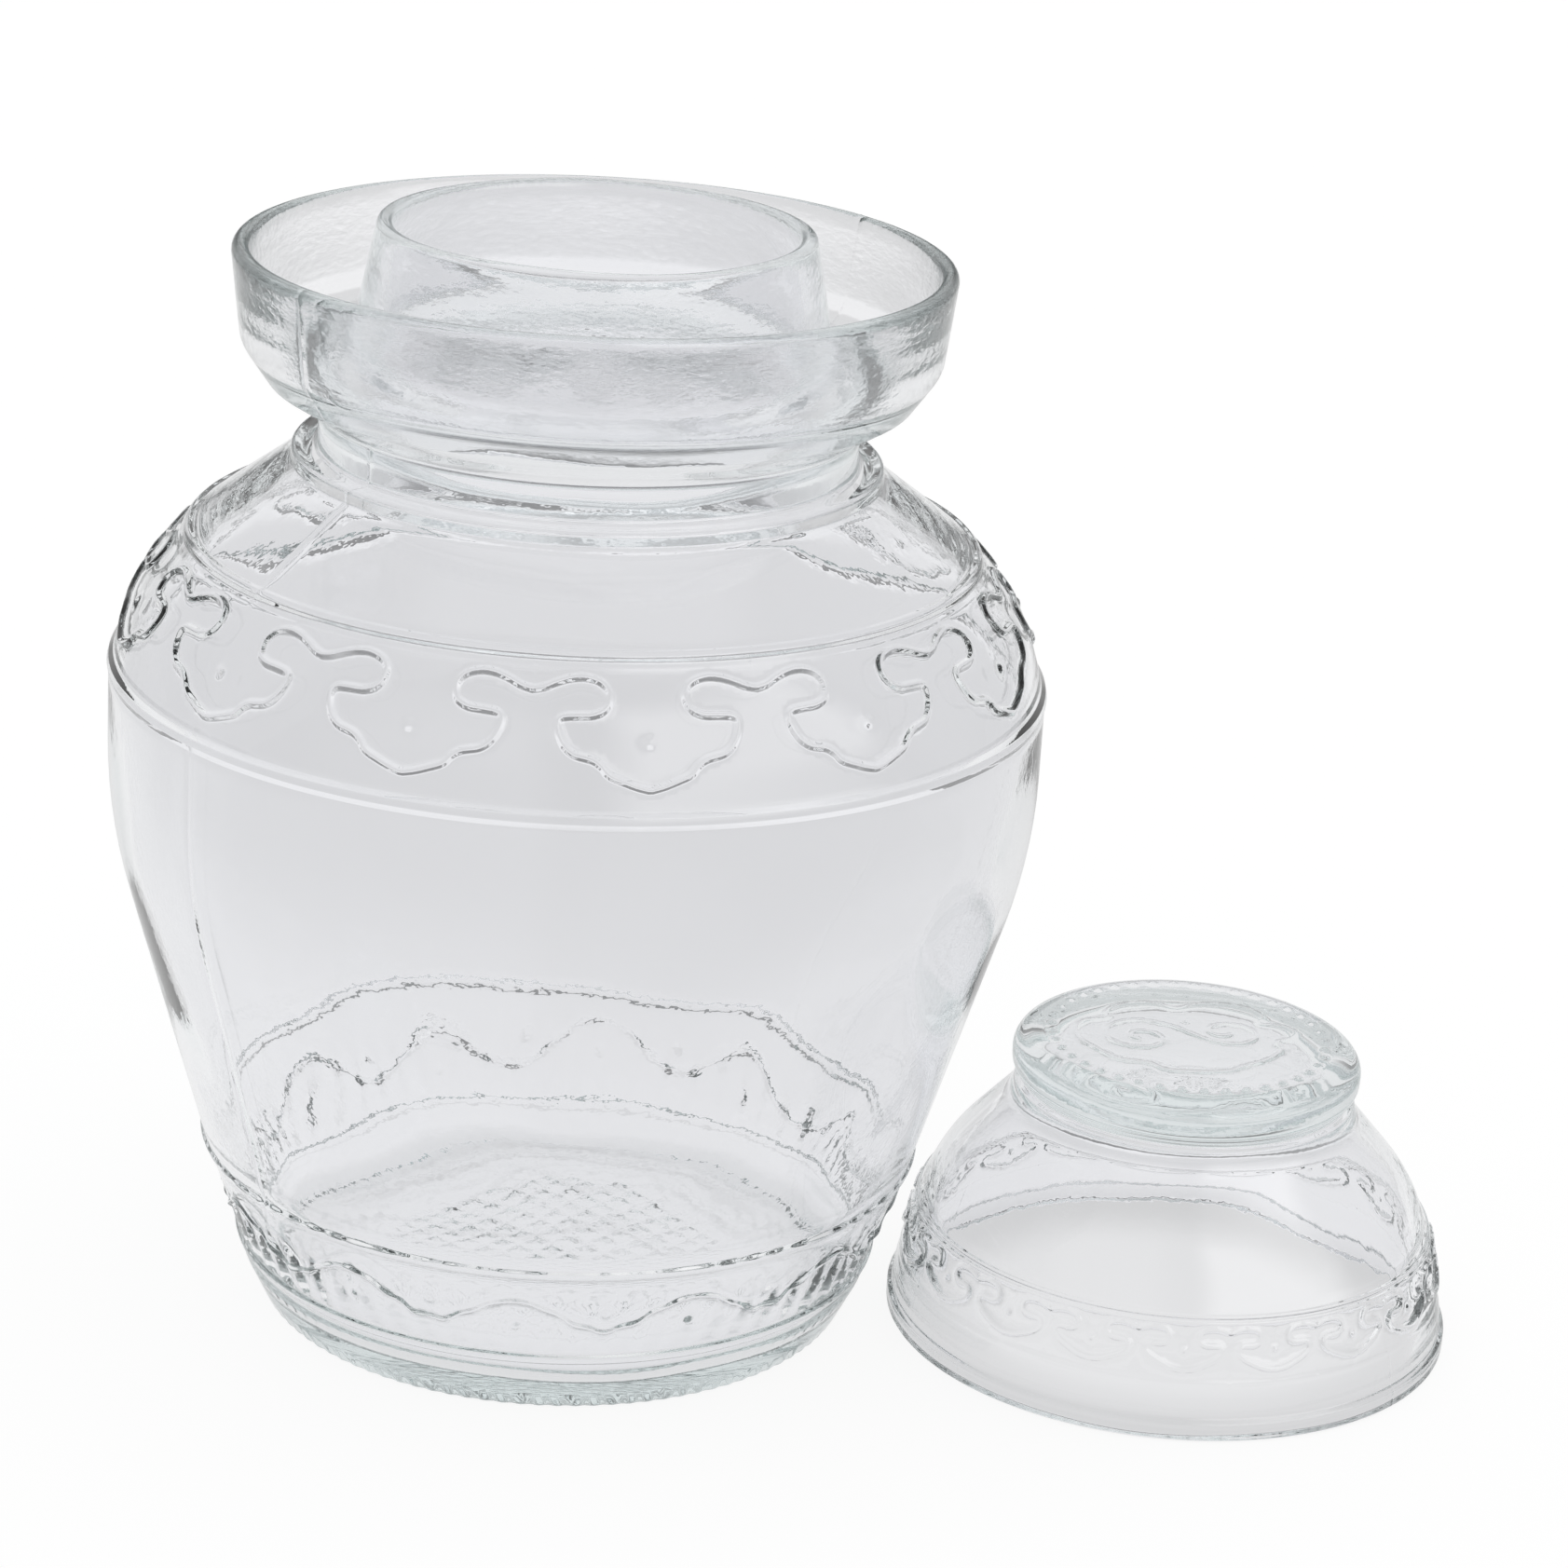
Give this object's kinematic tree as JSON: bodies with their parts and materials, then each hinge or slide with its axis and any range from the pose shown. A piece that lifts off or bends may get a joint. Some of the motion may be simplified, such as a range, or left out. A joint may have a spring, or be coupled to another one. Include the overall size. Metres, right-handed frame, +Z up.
{
  "type": "glass pickle jar",
  "caption": "Clear pressed-glass pickle jar with a water-seal moat around its collared mouth and a loose bowl-shaped glass lid lying mouth down beside it.",
  "frame": {"origin": "on the standing surface, under the middle of the box around the jar and the lid beside it", "axes": "+X from the jar towards the lid, +Y away from the side that the picture shows, +Z up along the jar's own axis"},
  "size_m": [0.2548, 0.1702, 0.2045],
  "materials": {
    "jar_glass": "fire-polished clear soda-lime glass with a faint grey-green tint where it is thick",
    "lid_glass": "fire-polished clear soda-lime glass with a faint grey-green tint where it is thick"
  },
  "bodies": {
    "jar": {"jar": "jar_glass"},
    "lid": {"lid": "lid_glass"}
  },
  "joints": [
    {"name": "lid_lift", "type": "slide", "parent": "jar", "child": "lid", "axis": [0.342, 0, 0.9397], "range_m": [0, 0.23]}
  ]
}
